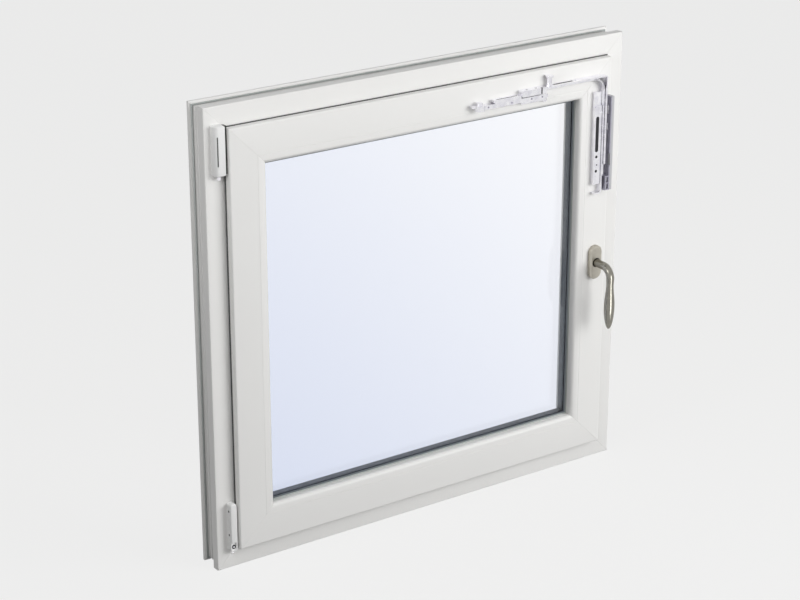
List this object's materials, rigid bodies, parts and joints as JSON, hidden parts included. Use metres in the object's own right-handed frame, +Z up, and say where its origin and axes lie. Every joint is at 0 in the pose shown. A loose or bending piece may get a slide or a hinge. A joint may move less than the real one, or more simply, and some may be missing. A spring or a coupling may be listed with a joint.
{
  "type": "tilt and turn pvc window",
  "caption": "White plastic single-sash window with mitred frame and sash, sealed glazing, hinge covers, a corner drive with its keep, and a turning lever handle.",
  "frame": {"origin": "underside of the frame's front leg, at the middle of the window's width and of the leg's depth", "axes": "+Z up, +X to the right seen from the room, -Y into the room and +Y to the weather side"},
  "size_m": [0.96, 0.144, 0.921],
  "materials": {
    "white_pvc": "satin white extruded PVC",
    "white_cap": "white moulded plastic",
    "glass": "clear float glass",
    "spacer": "grey mill spacer bar with dark sealant",
    "gasket": "grey rubber",
    "handle_metal": "satin nickel",
    "collar_plastic": "dark nylon",
    "zinc": "bright zinc plate",
    "keep_grey": "dark lilac-grey die casting",
    "keep_light": "light grey packer"
  },
  "bodies": {
    "window": {"bead_bottom": "white_pvc", "bead_left": "white_pvc", "bead_right": "white_pvc", "bead_top": "white_pvc", "corner_faceplate": "zinc", "corner_housing": "zinc", "corner_spring_band": "zinc", "drive_rod": "zinc", "end_roller": "zinc", "frame_head": "white_pvc", "frame_jamb_left": "white_pvc", "frame_jamb_right": "white_pvc", "frame_sill": "white_pvc", "gasket_bead": "gasket", "gasket_flange": "gasket", "gasket_glass_outer": "gasket", "gasket_rebate": "gasket", "glass_pane_inner": "glass", "glass_pane_outer": "glass", "guide_block": "zinc", "handle_collar": "collar_plastic", "handle_rosette": "handle_metal", "hinge_lower_cover": "white_cap", "hinge_lower_pin": "zinc", "hinge_lower_pot": "white_cap", "hinge_upper_cap": "white_cap", "hinge_upper_link": "collar_plastic", "hinge_upper_pin": "zinc", "keep_backing": "keep_light", "keep_clip": "keep_grey", "keep_plate": "keep_grey", "link_bars": "zinc", "mushroom_cam": "zinc", "sash_bottom_rail": "white_pvc", "sash_stile_left": "white_pvc", "sash_stile_right": "white_pvc", "sash_top_rail": "white_pvc", "slide_rod": "zinc", "slider_rail": "zinc", "spacer_ring": "spacer", "stay_arm": "zinc"},
    "handle": {"handle_lever": "handle_metal"}
  },
  "joints": [
    {"name": "handle_turn", "type": "hinge", "parent": "window", "child": "handle", "pos_m": [0.4095, -0.0365, 0.453], "axis": [0, 1, 0], "range_deg": [0, 180]}
  ]
}
